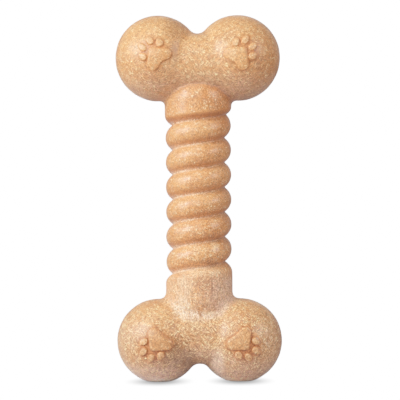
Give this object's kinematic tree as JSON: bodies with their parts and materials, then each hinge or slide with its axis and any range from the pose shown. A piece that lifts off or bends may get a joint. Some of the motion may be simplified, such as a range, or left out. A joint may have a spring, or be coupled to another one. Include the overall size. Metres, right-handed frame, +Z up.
{
  "type": "chew bone",
  "caption": "Solid wood-fibre chew bone for a dog: a round shaft with a spiral groove between knuckle-shaped heads, with raised paw prints on their rounded lobes.",
  "frame": {"origin": "on the standing surface, midway between the flats of the lower lobes", "axes": "+Z up along the shaft, +X to the right of the front, +Y away from the front"},
  "size_m": [0.0798, 0.043, 0.1775],
  "materials": {
    "shaft_fibre": "satin moulded wood fibre with pale flecks",
    "saddle_fibre": "satin, slightly rougher wood fibre",
    "lobe_fibre": "satin, coarse wood fibre with pale flecks",
    "print_fibre": "satin, smoother and paler wood fibre"
  },
  "bodies": {
    "root": {"spiral_shaft": "shaft_fibre", "upper_saddle": "saddle_fibre", "lower_saddle": "saddle_fibre", "upper_left_lobe": "lobe_fibre", "upper_right_lobe": "lobe_fibre", "lower_left_lobe": "lobe_fibre", "lower_right_lobe": "lobe_fibre", "upper_left_front_pad": "print_fibre", "upper_left_front_toe_1": "print_fibre", "upper_left_front_toe_2": "print_fibre", "upper_left_front_toe_3": "print_fibre", "upper_left_front_toe_4": "print_fibre", "upper_left_back_pad": "print_fibre", "upper_left_back_toe_1": "print_fibre", "upper_left_back_toe_2": "print_fibre", "upper_left_back_toe_3": "print_fibre", "upper_left_back_toe_4": "print_fibre", "upper_right_front_pad": "print_fibre", "upper_right_front_toe_1": "print_fibre", "upper_right_front_toe_2": "print_fibre", "upper_right_front_toe_3": "print_fibre", "upper_right_front_toe_4": "print_fibre", "upper_right_back_pad": "print_fibre", "upper_right_back_toe_1": "print_fibre", "upper_right_back_toe_2": "print_fibre", "upper_right_back_toe_3": "print_fibre", "upper_right_back_toe_4": "print_fibre", "lower_left_front_pad": "print_fibre", "lower_left_front_toe_1": "print_fibre", "lower_left_front_toe_2": "print_fibre", "lower_left_front_toe_3": "print_fibre", "lower_left_front_toe_4": "print_fibre", "lower_left_back_pad": "print_fibre", "lower_left_back_toe_1": "print_fibre", "lower_left_back_toe_2": "print_fibre", "lower_left_back_toe_3": "print_fibre", "lower_left_back_toe_4": "print_fibre", "lower_right_front_pad": "print_fibre", "lower_right_front_toe_1": "print_fibre", "lower_right_front_toe_2": "print_fibre", "lower_right_front_toe_3": "print_fibre", "lower_right_front_toe_4": "print_fibre", "lower_right_back_pad": "print_fibre", "lower_right_back_toe_1": "print_fibre", "lower_right_back_toe_2": "print_fibre", "lower_right_back_toe_3": "print_fibre", "lower_right_back_toe_4": "print_fibre"}
  },
  "joints": []
}
